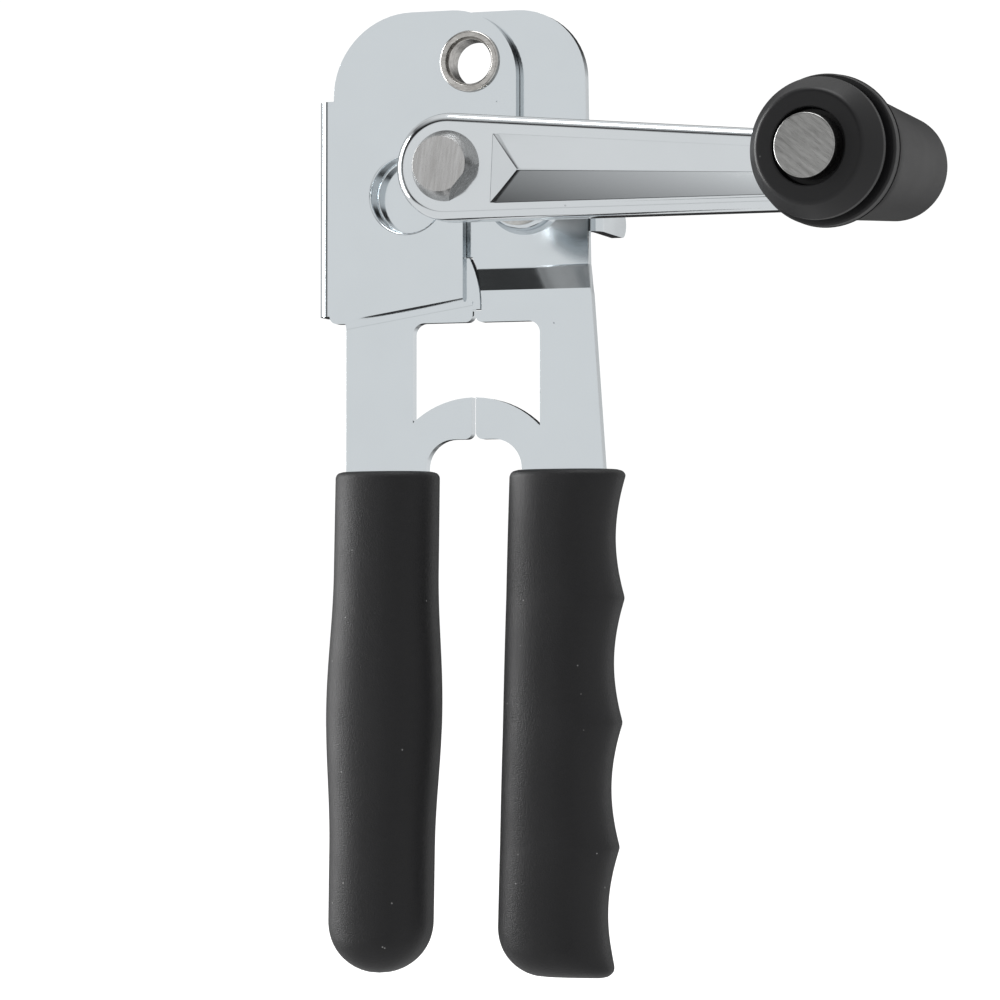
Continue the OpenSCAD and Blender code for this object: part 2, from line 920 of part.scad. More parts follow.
// Solid through a list of rings that run downwards
module loft(rings) {
    n = grip_sides;
    last = (len(rings) - 1) * n;
    polyhedron(
        points = [for (ring = rings) each ring],
        faces = [
            [for (i = [n - 1:-1:0]) i],
            for (k = [0:n:last - n], i = [0:n - 1])
                let (j = (i + 1) % n)
                    each [[k + i, k + j, k + n + j], [k + i, k + n + j, k + n + i]],
            [for (i = [0:n - 1]) last + i]
        ]
    );
}

// Half of a grip's thickness at part t of its length
function grip_half(t) = 8.2 + 0.7 * sin(180 * t);

// Left grip's sides: a shallow belly at mid length
function left_belly(t) =
    belly * pow(sin(180 * min(1, max(0, (t - 0.2) / 0.55))), 2);
function left_x0(t) = mid_x - 30.8 - 1.7 * t - left_belly(t);
function left_x1(t) = mid_x - 8.5 - 1.5 * t + left_belly(t);

// Right grip's sides: the outer one has four finger grooves
function groove(t) =
    let (g = (t - groove_t0) / groove_step)
        groove_d * pow(abs(sin(180 * g)), 0.8) * (g < 0 || g > 4 ? 0 : 1);
function right_x0(t) = mid_x + 8 - 2.8 * t;
function right_x1(t) = mid_x + 32.7 - 1.2 * t - 1.1 * t * t - groove(t);

// The sides drawn in towards the middle by a rounded top and a rounded end
function drawn_in(r, u) = r - sqrt(max(0, r * r - (r - u) * (r - u)));
function end_inset(t, r_top, r_end) =
    let (top = t * grip_len, end = (1 - t) * grip_len)
        top < r_top ? drawn_in(r_top, top)
        : end < r_end ? drawn_in(r_end, end) : 0;

module left_grip() {
    r_end = 12;
    ts = [0, 0.004, 0.013, 0.08, 0.16, 0.24, 0.32, 0.4, 0.48, 0.56, 0.64, 0.72,
          0.8, 0.887, 0.92, 0.945, 0.965, 0.981, 0.992, 0.9985];
    color([0.13, 0.13, 0.14])
        difference() {
            loft([
                for (t = ts)
                    let (e = end_inset(t, 1.4, r_end),
                         y = min(e, grip_half(t) - 2) * 0.75)
                        grip_ring(left_x0(t) + e, left_x1(t) - e,
                                  grip_half(t) - y, grip_top_z - t * grip_len)
            ]);
            slab(-sheet_t / 2, sheet_t / 2)
                left_lower();
        }
}

module right_grip() {
    r_end = 7;
    r_inner = 10.5;
    r_outer = 2.6;
    ts = [0, 0.004, for (k = [0:22]) groove_t0 + groove_step * k / 6,
          0.93, 0.95, 0.965, 0.978, 0.988, 0.995, 0.999];
    color([0.13, 0.13, 0.14])
        difference() {
            loft([
                for (t = ts)
                    let (e = end_inset(t, 1.4, r_end))
                        grip_ring(right_x0(t) + end_inset(t, 1.4, r_inner),
                                  right_x1(t) - end_inset(t, 1.4, r_outer),
                                  grip_half(t) - e * 0.9,
                                  grip_top_z - t * grip_len)
            ]);
            slab(-sheet_t / 2, sheet_t / 2)
                right_lower();
        }
}

// ---- the part ------------------------------------------------------------

left_frame();
left_grip();
pivot_eyelet();
pivot_washer();
cutter_stud();
cutter_screw();
cutter_spring_washer();
cutter_gear();
cutter_wheel();
right_frame();
right_grip();
shaft_bushing();
drive_shaft();
thrust_washer();
gear_spacer();
drive_gear();
feed_wheel();
lock_washer();
feed_nut();
crank_arm();
knob_axle();
knob_washer();
knob_body();
knob_cap();
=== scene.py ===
import json
import math
import bmesh
import bpy
import numpy as np
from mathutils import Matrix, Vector


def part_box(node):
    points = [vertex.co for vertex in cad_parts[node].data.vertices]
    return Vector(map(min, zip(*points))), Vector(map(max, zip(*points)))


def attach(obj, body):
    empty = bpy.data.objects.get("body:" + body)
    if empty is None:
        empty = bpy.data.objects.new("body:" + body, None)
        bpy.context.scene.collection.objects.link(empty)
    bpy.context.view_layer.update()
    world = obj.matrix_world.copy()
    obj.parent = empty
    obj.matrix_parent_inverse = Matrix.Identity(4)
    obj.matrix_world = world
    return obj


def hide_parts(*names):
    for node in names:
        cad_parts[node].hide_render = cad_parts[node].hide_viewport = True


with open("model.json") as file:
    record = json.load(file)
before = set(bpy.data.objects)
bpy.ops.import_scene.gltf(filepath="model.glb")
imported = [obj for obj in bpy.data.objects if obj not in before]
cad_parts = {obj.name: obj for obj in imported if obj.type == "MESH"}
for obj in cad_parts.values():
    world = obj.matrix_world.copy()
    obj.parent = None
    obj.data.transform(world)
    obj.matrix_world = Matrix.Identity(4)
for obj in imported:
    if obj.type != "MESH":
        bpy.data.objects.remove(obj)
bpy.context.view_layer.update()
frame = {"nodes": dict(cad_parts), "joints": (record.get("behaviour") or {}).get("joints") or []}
nodes = frame["nodes"]
joints = {joint["name"]: joint for joint in frame["joints"]}
MM = 0.001


# ---- Studio --------------------------------------------------------------
# A plain white room: the tool hangs over a pale floor, a soft key light stands
# to its left, and the chrome mirrors a white panel with the dark room round it.

SIGHT_AZIMUTH = math.radians(18.169)
SIGHT_RISE = math.radians(1.984)
SIGHT_RANGE = 901.4 * MM
AIM_RIGHT, AIM_UP = 5.547 * MM, -92.43 * MM

right = np.array([math.cos(SIGHT_AZIMUTH), math.sin(SIGHT_AZIMUTH), 0])
ahead = np.array([
    -math.sin(SIGHT_AZIMUTH) * math.cos(SIGHT_RISE),
    math.cos(SIGHT_AZIMUTH) * math.cos(SIGHT_RISE),
    math.sin(SIGHT_RISE),
])
upward = np.cross(right, ahead)
camera = bpy.data.objects.new("camera", bpy.data.cameras.new("camera"))
bpy.context.scene.collection.objects.link(camera)
camera.location = Vector(right * AIM_RIGHT + upward * AIM_UP - ahead * SIGHT_RANGE)
camera.rotation_euler = Vector(ahead).to_track_quat("-Z", "Y").to_euler()
camera.data.sensor_width = 36
camera.data.lens = 153.43
camera.data.clip_start = 0.05
camera.data.clip_end = 50
bpy.context.scene.camera = camera
bpy.context.scene.view_settings.view_transform = "Standard"


def wire(tree, kind, x=0, y=0, **settings):
    """Adds a node of the given kind and sets its plain properties."""
    node = tree.nodes.new(kind)
    node.location = (x, y)
    for key, value in settings.items():
        setattr(node, key, value)
    return node


def ramp(tree, stops, x=0, y=0):
    """Colour ramp with grey or coloured stops given as (place, value)."""
    node = wire(tree, "ShaderNodeValToRGB", x, y)
    elements = node.color_ramp.elements
    while len(elements) < len(stops):
        elements.new(0.5)
    for element, (place, value) in zip(elements, stops):
        element.position = place
        colour = (value,) * 3 if isinstance(value, (int, float)) else value
        element.color = (*colour, 1)
    return node


# The room as the metal sees it: a white panel to the left of the camera, a dark
# gap round it, white below, above, behind and to the right. For other rays it
# is plain white.
world = bpy.data.worlds.new("white room")
bpy.context.scene.world = world
world.use_nodes = True
sky = world.node_tree
sky.nodes.clear()
direction = wire(sky, "ShaderNodeTexCoord", -1100, 0)
split = wire(sky, "ShaderNodeSeparateXYZ", -900, 200)
sky.links.new(direction.outputs["Generated"], split.inputs[0])
facing = wire(sky, "ShaderNodeVectorMath", -900, 0, operation="DOT_PRODUCT")
facing.inputs[1].default_value = (-0.31, -0.949, 0.04)
sky.links.new(direction.outputs["Generated"], facing.inputs[0])


def band(value, stops, y):
    """Brightness as a ramp over a direction's part, which runs from -1 to 1."""
    spread = wire(sky, "ShaderNodeMapRange", -700, y)
    spread.inputs["From Min"].default_value = -1
    sky.links.new(value, spread.inputs["Value"])
    node = ramp(sky, [((place + 1) / 2, light) for place, light in stops], -500, y)
    sky.links.new(spread.outputs[0], node.inputs["Fac"])
    return node.outputs["Color"]


def brighter(first, second, x, y):
    """The lighter of two colours."""
    node = wire(sky, "ShaderNodeMix", x, y, data_type="RGBA", blend_type="LIGHTEN")
    node.inputs[0].default_value = 1
    sky.links.new(first, node.inputs[6])
    sky.links.new(second, node.inputs[7])
    return node.outputs[2]


panel = band(facing.outputs["Value"], [(-1, 0), (0.885, 0.0), (0.935, 1.0), (1, 1.0)], 0)
level = band(split.outputs["Z"], [
    (-1, 1.0), (-0.42, 1.0), (-0.30, 0.02), (0.0, 0.03), (0.50, 0.01),
    (0.58, 0.05), (0.66, 0.34), (0.86, 0.95), (1, 1.0)], 300)
side = band(split.outputs["X"], [
    (-1, 1.0), (-0.86, 1.0), (-0.76, 0.0), (0.22, 0.0), (0.29, 0.95), (1, 0.95)], 600)
lit_back = band(split.outputs["Y"], [(-1, 0), (0.15, 0.0), (0.40, 0.9), (1, 1.0)], 900)
away = wire(sky, "ShaderNodeVectorMath", -900, 1200, operation="DOT_PRODUCT")
away.inputs[1].default_value = (-0.31, 0.949, 0.04)
sky.links.new(direction.outputs["Generated"], away.inputs[0])
gap = band(away.outputs["Value"], [(-1, 1), (0.78, 1.0), (0.87, 0.03), (1, 0.03)], 1200)
behind = wire(sky, "ShaderNodeMix", -300, 1000, data_type="RGBA", blend_type="MULTIPLY")
behind.inputs[0].default_value = 1
sky.links.new(lit_back, behind.inputs[6])
sky.links.new(gap, behind.inputs[7])
behind = behind.outputs[2]
room = brighter(brighter(panel, level, -200, 100), brighter(side, behind, -200, 700), -20, 300)
mirrored = wire(sky, "ShaderNodeBackground", 140, 0)
plain = wire(sky, "ShaderNodeBackground", 140, -160)
plain.inputs["Color"].default_value = (1, 1, 1, 1)
plain.inputs["Strength"].default_value = 1.05
rays = wire(sky, "ShaderNodeLightPath", 140, 400)
either = wire(sky, "ShaderNodeMixShader", 340, 0)
sky_out = wire(sky, "ShaderNodeOutputWorld", 520, 0)
sky.links.new(room, mirrored.inputs["Color"])
sky.links.new(rays.outputs["Is Camera Ray"], either.inputs["Fac"])
sky.links.new(mirrored.outputs[0], either.inputs[1])
sky.links.new(plain.outputs[0], either.inputs[2])
sky.links.new(either.outputs[0], sky_out.inputs["Surface"])


def soft_light(name, place, target, width, height, power):
    """Large area light at place that points at target."""
    data = bpy.data.lights.new(name, "AREA")
    data.shape = "RECTANGLE"
    data.size = width
    data.size_y = height
    data.energy = power
    lamp = bpy.data.objects.new(name, data)
    bpy.context.scene.collection.objects.link(lamp)
    lamp.location = place
    aim = Vector(target) - Vector(place)
    lamp.rotation_euler = aim.to_track_quat("-Z", "Y").to_euler()


soft_light("left_light", (-0.95, -0.15, 0.05), (0, 0, -0.12), 0.35, 0.9, 16.0)
soft_light("top_light", (0.1, -0.2, 0.95), (0.03, 0, -0.05), 0.7, 0.5, 5.0)

floor_mesh = bpy.data.meshes.new("floor")
FLOOR_Z = -0.26
reach = 6.0
floor_mesh.from_pydata(
    [(-reach, -reach, FLOOR_Z), (reach, -reach, FLOOR_Z),
     (reach, reach, FLOOR_Z), (-reach, reach, FLOOR_Z)], [], [(0, 1, 2, 3)])
floor = bpy.data.objects.new("floor", floor_mesh)
bpy.context.scene.collection.objects.link(floor)
floor.visible_glossy = False
paper = bpy.data.materials.new("white_paper")
paper.use_nodes = True
paper_shader = paper.node_tree.nodes["Principled BSDF"]
paper_shader.inputs["Base Color"].default_value = (0.93, 0.93, 0.93, 1)
paper_shader.inputs["Roughness"].default_value = 0.9
paper_shader.inputs["Emission Color"].default_value = (1, 1, 1, 1)
paper_shader.inputs["Emission Strength"].default_value = 0.45
floor_mesh.materials.append(paper)


# ---- Sheet frames --------------------------------------------------------
# Two stampings of 2.4 mm steel sheet, pierced, stepped and bent in a press,
# then polished and chromed. Every sheared edge is slightly rounded.

def shade_group(name, inputs, outputs):
    """Empty shader node group with named sockets. Returns it and its two ends."""
    tree = bpy.data.node_groups.new(name, "ShaderNodeTree")
    for label, kind, value in inputs:
        socket = tree.interface.new_socket(label, in_out="INPUT", socket_type=kind)
        if value is not None:
            socket.default_value = value
    for label, kind in outputs:
        tree.interface.new_socket(label, in_out="OUTPUT", socket_type=kind)
    start = wire(tree, "NodeGroupInput", -900, 0)
    end = wire(tree, "NodeGroupOutput", 600, 0)
    return tree, start, end


def placed(tree, group, x=-500, y=0, **values):
    """Puts a shader group into a material with its own input values."""
    node = wire(tree, "ShaderNodeGroup", x, y)
    node.node_tree = group
    for key, value in values.items():
        node.inputs[key.replace("_", " ")].default_value = value
    return node


def noise(tree, scale, detail=3.0, rough=0.5, x=0, y=0):
    """Noise texture node with a fixed scale, which a link may still drive."""
    node = wire(tree, "ShaderNodeTexNoise", x, y)
    node.inputs["Scale"].default_value = scale
    node.inputs["Detail"].default_value = detail
    node.inputs["Roughness"].default_value = rough
    return node


def arithmetic(tree, operation, a, b=None, x=0, y=0, clamp=False):
    """Math node: a and b are sockets or numbers. Returns its output socket."""
    node = wire(tree, "ShaderNodeMath", x, y, operation=operation)
    node.use_clamp = clamp
    for socket, value in zip(node.inputs, (a, b)):
        if value is None:
            continue
        if isinstance(value, (int, float)):
            socket.default_value = value
        else:
            tree.links.new(value, socket)
    return node.outputs[0]


# Plating over polished sheet: long shallow waves left by the press, fine
# orange peel, faint wipe marks and a few pin-point specks.
plating, p_in, p_out = shade_group(
    "plating",
    [("Wave", "NodeSocketFloat", 1.0), ("Peel", "NodeSocketFloat", 1.0),
     ("Specks", "NodeSocketFloat", 1.0)],
    [("Height", "NodeSocketFloat"), ("Haze", "NodeSocketFloat"),
     ("Tarnish", "NodeSocketFloat")])
spot = wire(plating, "ShaderNodeTexCoord", -1300, 0)
waves = noise(plating, 38.0, 1.0, 0.4, -900, 300)
peel = noise(plating, 1400.0, 2.0, 0.5, -900, 80)
cloud = noise(plating, 70.0, 4.0, 0.6, -900, -140)
wipes_map = wire(plating, "ShaderNodeMapping", -1100, -420)
wipes_map.inputs["Scale"].default_value = (140, 140, 2600)
wipes_map.inputs["Rotation"].default_value = (0, 0.5, 0)
wipes = noise(plating, 1.0, 2.0, 0.5, -900, -420)
dots = wire(plating, "ShaderNodeTexVoronoi", -900, -700)
dots.inputs["Scale"].default_value = 330.0
for node in (waves, peel, cloud, dots):
    plating.links.new(spot.outputs["Object"], node.inputs["Vector"])
plating.links.new(spot.outputs["Object"], wipes_map.inputs["Vector"])
plating.links.new(wipes_map.outputs[0], wipes.inputs["Vector"])
wave_height = arithmetic(plating, "MULTIPLY", waves.outputs["Fac"],
                         p_in.outputs["Wave"], -600, 300)
peel_height = arithmetic(plating, "MULTIPLY", peel.outputs["Fac"], 0.012, -700, 80)
peel_height = arithmetic(plating, "MULTIPLY", peel_height, p_in.outputs["Peel"], -520, 80)
height = arithmetic(plating, "ADD", wave_height, peel_height, -340, 200)
picked = arithmetic(plating, "LESS_THAN", dots.outputs["Distance"], 0.06, -700, -700)
rare = wire(plating, "ShaderNodeSeparateColor", -700, -860)
plating.links.new(dots.outputs["Color"], rare.inputs[0])
chosen = arithmetic(plating, "GREATER_THAN", rare.outputs[0], 0.93, -520, -860)
speck = arithmetic(plating, "MULTIPLY", picked, chosen, -340, -760)
speck = arithmetic(plating, "MULTIPLY", speck, p_in.outputs["Specks"], -180, -760)
haze = arithmetic(plating, "MULTIPLY", cloud.outputs["Fac"], 0.10, -600, -140)
streak = arithmetic(plating, "MULTIPLY", wipes.outputs["Fac"], 0.05, -600, -420)
haze = arithmetic(plating, "ADD", haze, streak, -420, -200)
haze = arithmetic(plating, "ADD", haze, speck, -240, -260)
plating.links.new(height, p_out.inputs["Height"])
plating.links.new(haze, p_out.inputs["Haze"])
tarnish = arithmetic(plating, "MULTIPLY", cloud.outputs["Fac"], 0.35, -420, -560)
tarnish = arithmetic(plating, "ADD", tarnish, speck, -240, -560, clamp=True)
plating.links.new(tarnish, p_out.inputs["Tarnish"])


def finish(name):
    """New material and its Principled shader."""
    material = bpy.data.materials.new(name)
    material.use_nodes = True
    return material, material.node_tree, material.node_tree.nodes["Principled BSDF"]


def tinted(tree, shader, mask, low, high, x=-250, y=200):
    """Base Color that runs from low to high with a mask."""
    mix = wire(tree, "ShaderNodeMix", x, y, data_type="RGBA")
    mix.inputs[6].default_value = (*low, 1)
    mix.inputs[7].default_value = (*high, 1)
    tree.links.new(mask, mix.inputs[0])
    tree.links.new(mix.outputs[2], shader.inputs["Base Color"])


def bumped(tree, shader, height, distance, strength=1.0, x=-250, y=-300):
    """Bump from a height, in metres at height 1, into the shader's Normal."""
    bump = wire(tree, "ShaderNodeBump", x, y)
    bump.inputs["Distance"].default_value = distance
    bump.inputs["Strength"].default_value = strength
    tree.links.new(height, bump.inputs["Height"])
    tree.links.new(bump.outputs[0], shader.inputs["Normal"])


def chrome(name, wave, peel, base, low_rough, specks=1.0):
    """Bright chrome plate: a mirror with a little haze that varies over it."""
    material, tree, shader = finish(name)
    shader.inputs["Metallic"].default_value = 1
    coat = placed(tree, plating, -700, 0, Wave=wave, Peel=peel, Specks=specks)
    tinted(tree, shader, coat.outputs["Tarnish"], base, [c * 0.86 for c in base])
    rough = arithmetic(tree, "ADD", coat.outputs["Haze"], low_rough, -450, -60)
    tree.links.new(rough, shader.inputs["Roughness"])
    bumped(tree, shader, coat.outputs["Height"], 0.00006)
    return material


chromed_sheet = chrome("chromed_sheet", 1.0, 1.0, (0.60, 0.64, 0.665), 0.03)


def softened(node, body, material, edge, steps=2, sharp=28):
    """Copy of a CAD node with its corners merged and flat areas joined, so that
    a bevel can round each edge that turns by more than sharp degrees."""
    mesh = nodes[node].data.copy()
    mesh.name = node + "_finished"
    shape = bmesh.new()
    shape.from_mesh(mesh)
    bmesh.ops.remove_doubles(shape, verts=shape.verts, dist=2e-6)
    bmesh.ops.dissolve_limit(shape, angle_limit=math.radians(0.4),
                             verts=shape.verts, edges=shape.edges)
    shape.to_mesh(mesh)
    shape.free()
    if "custom_normal" in mesh.attributes:
        mesh.attributes.remove(mesh.attributes["custom_normal"])
    mesh.materials.clear()
    mesh.materials.append(material)
    mesh.shade_smooth()
    mesh.set_sharp_from_angle(angle=math.radians(sharp))
    piece = bpy.data.objects.new(node + "_finished", mesh)
    bpy.context.scene.collection.objects.link(piece)
    bevel = piece.modifiers.new("rounded_edges", "BEVEL")
    bevel.width = edge * MM
    bevel.segments = steps
    bevel.limit_method = "ANGLE"
    bevel.angle_limit = math.radians(sharp)
    bevel.use_clamp_overlap = True
    bevel.harden_normals = True
    weigh = piece.modifiers.new("flat_faces_stay_flat", "WEIGHTED_NORMAL")
    weigh.keep_sharp = True
    weigh.weight = 100
    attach(piece, body)
    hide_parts(node)


softened("left_frame", "left_handle", chromed_sheet, 0.22, sharp=9)
softened("right_frame", "right_handle", chromed_sheet, 0.22, sharp=9)


# ---- Pivot rivet ---------------------------------------------------------
# A hollow steel rivet, rolled over at both ends, that joins the two frames and
# leaves a hole to hang the tool by. Its lips show the marks of the rolling.

def rounded(corners, steps=6):
    """Closed profile through corners (x, y, fillet): the corner is cut back by
    fillet * tan(turn / 2) on both sides and bridged by an arc of that radius."""
    out = []
    count = len(corners)
    for k in range(count):
        here = np.array(corners[k][:2], float)
        before = np.array(corners[k - 1][:2], float) - here
        after = np.array(corners[(k + 1) % count][:2], float) - here
        fillet = corners[k][2]
        if not fillet:
            out.append(here)
            continue
        before /= np.linalg.norm(before)
        after /= np.linalg.norm(after)
        half = math.acos(np.clip(before @ after, -1, 1)) / 2
        cut = fillet / math.tan(half)
        middle = before + after
        centre = here + middle / np.linalg.norm(middle) * fillet / math.sin(half)
        first = here + before * cut - centre
        turn = math.pi - 2 * half
        side = np.sign(first[0] * (-before[1]) - first[1] * (-before[0]))
        angles = np.linspace(0, turn, steps + 1) * side
        x = first[0] * np.cos(angles) - first[1] * np.sin(angles)
        y = first[0] * np.sin(angles) + first[1] * np.cos(angles)
        out.extend(centre + np.stack([x, y], 1))
    return np.array(out)


def grid_faces(rows, columns, close_rows=True, close_columns=True):
    """Quads between neighbours of a grid of points, row after row."""
    r = np.arange(rows if close_rows else rows - 1)
    c = np.arange(columns if close_columns else columns - 1)
    r, c = np.meshgrid(r, c, indexing="ij")
    down, across = (r + 1) % rows, (c + 1) % columns
    quads = np.stack([r * columns + c, r * columns + across,
                      down * columns + across, down * columns + c], -1)
    return quads.reshape(-1, 4)


def piece_from(name, points, faces, material, body, slot, replaced=(), angle=32):
    """Mesh from arrays in millimetres; doubles at poles and seams are merged,
    faces point outwards, and edges sharper than angle stay crisp."""
    mesh = bpy.data.meshes.new(name)
    mesh.from_pydata((np.asarray(points) * MM).tolist(), [], [list(f) for f in faces])
    shape = bmesh.new()
    shape.from_mesh(mesh)
    bmesh.ops.remove_doubles(shape, verts=shape.verts, dist=1e-7)
    bmesh.ops.recalc_face_normals(shape, faces=shape.faces)
    shape.to_mesh(mesh)
    shape.free()
    mesh.materials.append(material)
    mesh.shade_smooth()
    mesh.set_sharp_from_angle(angle=math.radians(angle))
    piece = bpy.data.objects.new(name, mesh)
    bpy.context.scene.collection.objects.link(piece)
    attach(piece, body)
    if replaced:
        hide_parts(*replaced)


def turned(profile, origin, axis, sides=144):
    """Lathe shape: point (r, s) of the closed profile becomes
    origin + s * axis + r * (cos t * e1 + sin t * e2) for t round the circle."""
    axis = np.asarray(axis, float) / np.linalg.norm(axis)
    e1 = np.cross(axis, (0, 0, 1.0))
    e1 /= np.linalg.norm(e1)
    e2 = np.cross(axis, e1)
    t = np.linspace(0, 2 * math.pi, sides, endpoint=False)[None, :, None]
    r, s = profile[:, 0][:, None, None], profile[:, 1][:, None, None]
    points = np.asarray(origin) + s * axis + r * (np.cos(t) * e1 + np.sin(t) * e2)
    return points.reshape(-1, 3), grid_faces(len(profile), sides)


# Linear grain of ground or brushed steel along the local X of the coordinates
# that come in, with single deeper scratches.
brushing, b_in, b_out = shade_group(
    "brushing",
    [("Vector", "NodeSocketVector", None), ("Fine", "NodeSocketFloat", 9000.0),
     ("Length", "NodeSocketFloat", 260.0)],
    [("Height", "NodeSocketFloat"), ("Haze", "NodeSocketFloat"),
     ("Shade", "NodeSocketFloat")])
stretch = wire(brushing, "ShaderNodeCombineXYZ", -700, -200)
brushing.links.new(b_in.outputs["Length"], stretch.inputs[0])
brushing.links.new(b_in.outputs["Fine"], stretch.inputs[1])
brushing.links.new(b_in.outputs["Fine"], stretch.inputs[2])
pulled = wire(brushing, "ShaderNodeVectorMath", -520, 0, operation="MULTIPLY")
brushing.links.new(b_in.outputs["Vector"], pulled.inputs[0])
brushing.links.new(stretch.outputs[0], pulled.inputs[1])
grain = noise(brushing, 1.0, 4.0, 0.65, -340, 120)
coarse = noise(brushing, 0.28, 2.0, 0.5, -340, -120)
brushing.links.new(pulled.outputs[0], grain.inputs["Vector"])
brushing.links.new(pulled.outputs[0], coarse.inputs["Vector"])
both = arithmetic(brushing, "ADD", grain.outputs["Fac"], coarse.outputs["Fac"], -120, 60)
both = arithmetic(brushing, "MULTIPLY", both, 0.5, 40, 60)
brushing.links.new(both, b_out.inputs["Height"])
brushing.links.new(arithmetic(brushing, "MULTIPLY", grain.outputs["Fac"], 0.25, 40, -100),
                   b_out.inputs["Haze"])
contrast = wire(brushing, "ShaderNodeMapRange", 200, -260)
contrast.inputs["From Min"].default_value = 0.36
contrast.inputs["From Max"].default_value = 0.64
brushing.links.new(both, contrast.inputs["Value"])
brushing.links.new(contrast.outputs[0], b_out.inputs["Shade"])


def brushed(name, turn, base, dark, depth, rough, fine=9000.0, length=260.0):
    """Brushed steel whose grain runs along local X after a turn, in degrees."""
    material, tree, shader = finish(name)
    shader.inputs["Metallic"].default_value = 1
    where = wire(tree, "ShaderNodeTexCoord", -1100, 0)
    mapping = wire(tree, "ShaderNodeMapping", -900, 0)
    mapping.inputs["Rotation"].default_value = [math.radians(a) for a in turn]
    tree.links.new(where.outputs["Object"], mapping.inputs["Vector"])
    lines = placed(tree, brushing, -650, 0, Fine=fine, Length=length)
    tree.links.new(mapping.outputs[0], lines.inputs["Vector"])
    tinted(tree, shader, lines.outputs["Shade"], dark, base)
    haze = arithmetic(tree, "ADD", lines.outputs["Haze"], rough, -420, -80)
    tree.links.new(haze, shader.inputs["Roughness"])
    bumped(tree, shader, lines.outputs["Height"], depth)
    return material


rolled_steel = brushed("rolled_steel", (90, 0, 0), (0.56, 0.55, 0.53),
                       (0.30, 0.29, 0.275), 0.000012, 0.10, 2600.0, 900.0)
low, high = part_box("pivot_eyelet")
y0, y1 = low.y / MM, high.y / MM
TUBE, LIP, BORE, LIP_T = 5.8, 6.5, 4.7, 1.0
eyelet_profile = rounded([
    (BORE + 0.5, y0, 0.18), (LIP, y0, 0.48), (LIP, y0 + LIP_T, 0.3),
    (TUBE, y0 + LIP_T, 0.0), (TUBE, y1 - LIP_T, 0.0), (LIP, y1 - LIP_T, 0.3),
    (LIP, y1, 0.48), (BORE + 0.5, y1, 0.18), (BORE, y1 - LIP_T, 0.6),
    (BORE, y0 + LIP_T, 0.6),
])
piece_from("pivot_rivet", *turned(eyelet_profile, (0, 0, 0), (0, 1, 0)),
           rolled_steel, "left_handle", "steel", ["pivot_eyelet"])


# ---- Cutter --------------------------------------------------------------
# Behind the left frame: a gear and a hardened disc turn on a stud and are held
# by a slotted screw. The gear is zinc plated, the disc is ground to an edge.

zinc_plate = brushed("zinc_plate", (0, 30, 0), (0.60, 0.60, 0.58),
                     (0.42, 0.42, 0.41), 0.00002, 0.22, 1800.0, 700.0)
ground_steel = brushed("ground_steel", (0, -20, 0), (0.66, 0.66, 0.66),
                       (0.5, 0.5, 0.5), 0.00001, 0.12)
softened("cutter_gear", "cutter", zinc_plate, 0.14)
softened("cutter_wheel", "cutter", ground_steel, 0.05)
softened("cutter_screw", "left_handle", ground_steel, 0.25, 3)
for plain_node in ("pivot_washer", "cutter_stud", "cutter_spring_washer"):
    nodes[plain_node].data.materials.clear()
    nodes[plain_node].data.materials.append(zinc_plate)


# ---- Drive ---------------------------------------------------------------
# A shaft in a bronze bushing carries the drive gear and the toothed feed wheel
# behind the right frame. Its turned head stands out in front of the arm.

sintered_bronze, bronze_tree, bronze_shader = finish("sintered_bronze")
bronze_shader.inputs["Metallic"].default_value = 1
bronze_spot = wire(bronze_tree, "ShaderNodeTexCoord", -900, 0)
pores = noise(bronze_tree, 5200.0, 3.0, 0.6, -650, 0)
bronze_tree.links.new(bronze_spot.outputs["Object"], pores.inputs["Vector"])
tinted(bronze_tree, bronze_shader, pores.outputs["Fac"],
       (0.30, 0.21, 0.11), (0.62, 0.46, 0.26))
bronze_rough = arithmetic(bronze_tree, "MULTIPLY", pores.outputs["Fac"], 0.75, -400, -80)
bronze_tree.links.new(bronze_rough, bronze_shader.inputs["Roughness"])
bumped(bronze_tree, bronze_shader, pores.outputs["Fac"], 0.00003)

shaft_steel = brushed("shaft_steel", (0, 82, 0), (0.50, 0.50, 0.50),
                      (0.36, 0.355, 0.35), 0.00003, 0.16, 5200.0, 420.0)
softened("shaft_bushing", "right_handle", sintered_bronze, 0.15)
softened("drive_shaft", "crank", shaft_steel, 0.12)
softened("drive_gear", "crank", zinc_plate, 0.14)
softened("feed_wheel", "crank", ground_steel, 0.06)
softened("feed_nut", "crank", zinc_plate, 0.2)
for plain_node in ("thrust_washer", "gear_spacer", "lock_washer", "knob_washer"):
    nodes[plain_node].data.materials.clear()
    nodes[plain_node].data.materials.append(zinc_plate)


# ---- Crank arm -----------------------------------------------------------
# A die-cast arm, tapered towards the knob, with a hipped V trough in its front
# face, polished and chromed. A boss behind its hub meets the thrust washer.

crank_axis = np.array(joints["crank_spin"]["pos_m"]) / MM
knob_seat = np.array(joints["knob_spin"]["pos_m"]) / MM
knob_way = np.array(joints["knob_spin"]["axis"], float)
along = knob_seat - crank_axis
FRONT_Y = along[1]
ARM_LENGTH = math.hypot(along[0], along[2])
arm_u = np.array([along[0], 0, along[2]]) / ARM_LENGTH
arm_v = np.array([-arm_u[2], 0, arm_u[0]])
HUB_R, END_R, ARM_T, ARM_EDGE = 10.8, 6.8, 8.5, 2.2
TROUGH = {"u0": 9.7, "u1": 79.0, "w0": 6.95, "w1": 4.1, "hip": 4.6, "low": 0.35,
          "deep": 2.2}


